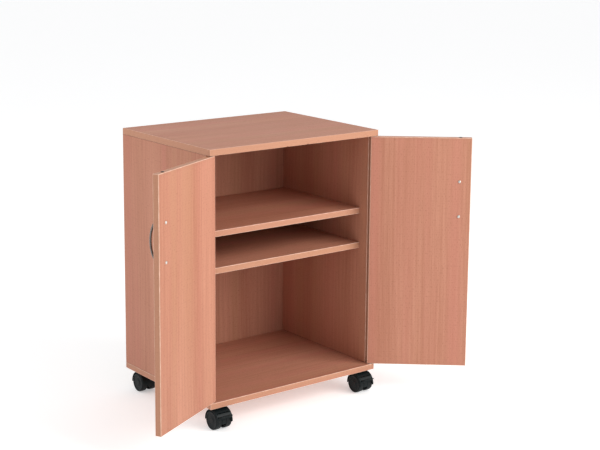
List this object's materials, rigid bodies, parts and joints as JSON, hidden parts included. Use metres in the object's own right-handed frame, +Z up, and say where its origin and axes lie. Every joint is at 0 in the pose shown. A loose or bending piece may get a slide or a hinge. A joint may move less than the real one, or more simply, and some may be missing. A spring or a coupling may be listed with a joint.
{
  "type": "mobile printer stand",
  "caption": "Low two-door board cupboard on twin-wheel castors: the top carries a printer, the shelves inside hold paper and upright files.",
  "frame": {"origin": "on the floor, at the middle of the area that the stand covers with its doors open as stored", "axes": "+Z up, -Y towards the front, +X to the right seen from the front"},
  "size_m": [0.9722, 0.5838, 0.731],
  "materials": {
    "beech_board": "beech-effect melamine facing, fine embossed grain, satin",
    "back_board": "thin beech-printed hardboard, matt",
    "zinc_steel": "bright zinc plate",
    "satin_handle": "dark satin nickel",
    "grey_nylon": "moulded nylon",
    "catch_black": "moulded plastic",
    "castor_black": "moulded nylon, semi-gloss",
    "wheel_nylon": "moulded nylon tread, satin"
  },
  "bodies": {
    "cabinet": {"back_panel": "back_board", "base_panel": "beech_board", "front_left_castor_plate": "castor_black", "front_right_castor_plate": "castor_black", "left_catch_strike": "zinc_steel", "left_lower_hinge_bush": "grey_nylon", "left_side_panel": "beech_board", "left_upper_hinge_bush": "grey_nylon", "lower_shelf": "beech_board", "lower_shelf_pin_left_front": "zinc_steel", "lower_shelf_pin_left_rear": "zinc_steel", "lower_shelf_pin_right_front": "zinc_steel", "lower_shelf_pin_right_rear": "zinc_steel", "rear_left_castor_plate": "castor_black", "rear_right_castor_plate": "castor_black", "right_catch_strike": "zinc_steel", "right_lower_hinge_bush": "grey_nylon", "right_side_panel": "beech_board", "right_upper_hinge_bush": "grey_nylon", "top_panel": "beech_board", "upper_shelf": "beech_board", "upper_shelf_pin_left_front": "zinc_steel", "upper_shelf_pin_left_rear": "zinc_steel", "upper_shelf_pin_right_front": "zinc_steel", "upper_shelf_pin_right_rear": "zinc_steel"},
    "left_door": {"left_catch_magnet": "catch_black", "left_door": "beech_board", "left_door_handle": "satin_handle", "left_handle_screw_lower": "zinc_steel", "left_handle_screw_upper": "zinc_steel", "left_lower_hinge_pin": "zinc_steel", "left_upper_hinge_pin": "zinc_steel"},
    "right_door": {"right_catch_magnet": "catch_black", "right_door": "beech_board", "right_door_handle": "satin_handle", "right_handle_screw_lower": "zinc_steel", "right_handle_screw_upper": "zinc_steel", "right_lower_hinge_pin": "zinc_steel", "right_upper_hinge_pin": "zinc_steel"},
    "front_left_brake": {"front_left_brake_lever": "castor_black"},
    "front_left_castor": {"front_left_brake_pin": "zinc_steel", "front_left_castor_axle": "zinc_steel", "front_left_castor_hood": "castor_black"},
    "front_left_left_wheel": {"front_left_castor_left_wheel": "wheel_nylon"},
    "front_left_right_wheel": {"front_left_castor_right_wheel": "wheel_nylon"},
    "front_right_brake": {"front_right_brake_lever": "castor_black"},
    "front_right_castor": {"front_right_brake_pin": "zinc_steel", "front_right_castor_axle": "zinc_steel", "front_right_castor_hood": "castor_black"},
    "front_right_left_wheel": {"front_right_castor_left_wheel": "wheel_nylon"},
    "front_right_right_wheel": {"front_right_castor_right_wheel": "wheel_nylon"},
    "rear_left_castor": {"rear_left_castor_axle": "zinc_steel", "rear_left_castor_hood": "castor_black"},
    "rear_left_left_wheel": {"rear_left_castor_left_wheel": "wheel_nylon"},
    "rear_left_right_wheel": {"rear_left_castor_right_wheel": "wheel_nylon"},
    "rear_right_castor": {"rear_right_castor_axle": "zinc_steel", "rear_right_castor_hood": "castor_black"},
    "rear_right_left_wheel": {"rear_right_castor_left_wheel": "wheel_nylon"},
    "rear_right_right_wheel": {"rear_right_castor_right_wheel": "wheel_nylon"}
  },
  "joints": [
    {"name": "left_door_hinge", "type": "hinge", "parent": "cabinet", "child": "left_door", "pos_m": [-0.24811, -0.11506, 0.3955], "axis": [0, 0, 1], "range_deg": [-27, 153]},
    {"name": "right_door_hinge", "type": "hinge", "parent": "cabinet", "child": "right_door", "pos_m": [0.28089, -0.11506, 0.3955], "axis": [0, 0, -1], "range_deg": [-40.5, 139.5]},
    {"name": "front_left_castor_swivel", "type": "hinge", "parent": "cabinet", "child": "front_left_castor", "pos_m": [-0.22061, -0.09556, 0.057], "axis": [0, 0, 1], "continuous": true},
    {"name": "front_left_left_wheel_spin", "type": "hinge", "parent": "front_left_castor", "child": "front_left_left_wheel", "pos_m": [-0.22061, -0.10756, 0.025], "axis": [1, 0, 0], "continuous": true},
    {"name": "front_left_right_wheel_spin", "type": "hinge", "parent": "front_left_castor", "child": "front_left_right_wheel", "pos_m": [-0.22061, -0.10756, 0.025], "axis": [1, 0, 0], "continuous": true},
    {"name": "front_left_brake_pivot", "type": "hinge", "parent": "front_left_castor", "child": "front_left_brake", "pos_m": [-0.22061, -0.12811, 0.04416], "axis": [1, 0, 0], "range_deg": [0, 10]},
    {"name": "front_right_castor_swivel", "type": "hinge", "parent": "cabinet", "child": "front_right_castor", "pos_m": [0.25339, -0.09556, 0.057], "axis": [0, 0, 1], "continuous": true},
    {"name": "front_right_left_wheel_spin", "type": "hinge", "parent": "front_right_castor", "child": "front_right_left_wheel", "pos_m": [0.25339, -0.10756, 0.025], "axis": [1, 0, 0], "continuous": true},
    {"name": "front_right_right_wheel_spin", "type": "hinge", "parent": "front_right_castor", "child": "front_right_right_wheel", "pos_m": [0.25339, -0.10756, 0.025], "axis": [1, 0, 0], "continuous": true},
    {"name": "front_right_brake_pivot", "type": "hinge", "parent": "front_right_castor", "child": "front_right_brake", "pos_m": [0.25339, -0.12811, 0.04416], "axis": [1, 0, 0], "range_deg": [0, 10]},
    {"name": "rear_left_castor_swivel", "type": "hinge", "parent": "cabinet", "child": "rear_left_castor", "pos_m": [-0.22061, 0.26444, 0.057], "axis": [0, 0, 1], "continuous": true},
    {"name": "rear_left_left_wheel_spin", "type": "hinge", "parent": "rear_left_castor", "child": "rear_left_left_wheel", "pos_m": [-0.22061, 0.25244, 0.025], "axis": [1, 0, 0], "continuous": true},
    {"name": "rear_left_right_wheel_spin", "type": "hinge", "parent": "rear_left_castor", "child": "rear_left_right_wheel", "pos_m": [-0.22061, 0.25244, 0.025], "axis": [1, 0, 0], "continuous": true},
    {"name": "rear_right_castor_swivel", "type": "hinge", "parent": "cabinet", "child": "rear_right_castor", "pos_m": [0.25339, 0.26444, 0.057], "axis": [0, 0, 1], "continuous": true},
    {"name": "rear_right_left_wheel_spin", "type": "hinge", "parent": "rear_right_castor", "child": "rear_right_left_wheel", "pos_m": [0.25339, 0.25244, 0.025], "axis": [1, 0, 0], "continuous": true},
    {"name": "rear_right_right_wheel_spin", "type": "hinge", "parent": "rear_right_castor", "child": "rear_right_right_wheel", "pos_m": [0.25339, 0.25244, 0.025], "axis": [1, 0, 0], "continuous": true}
  ]
}
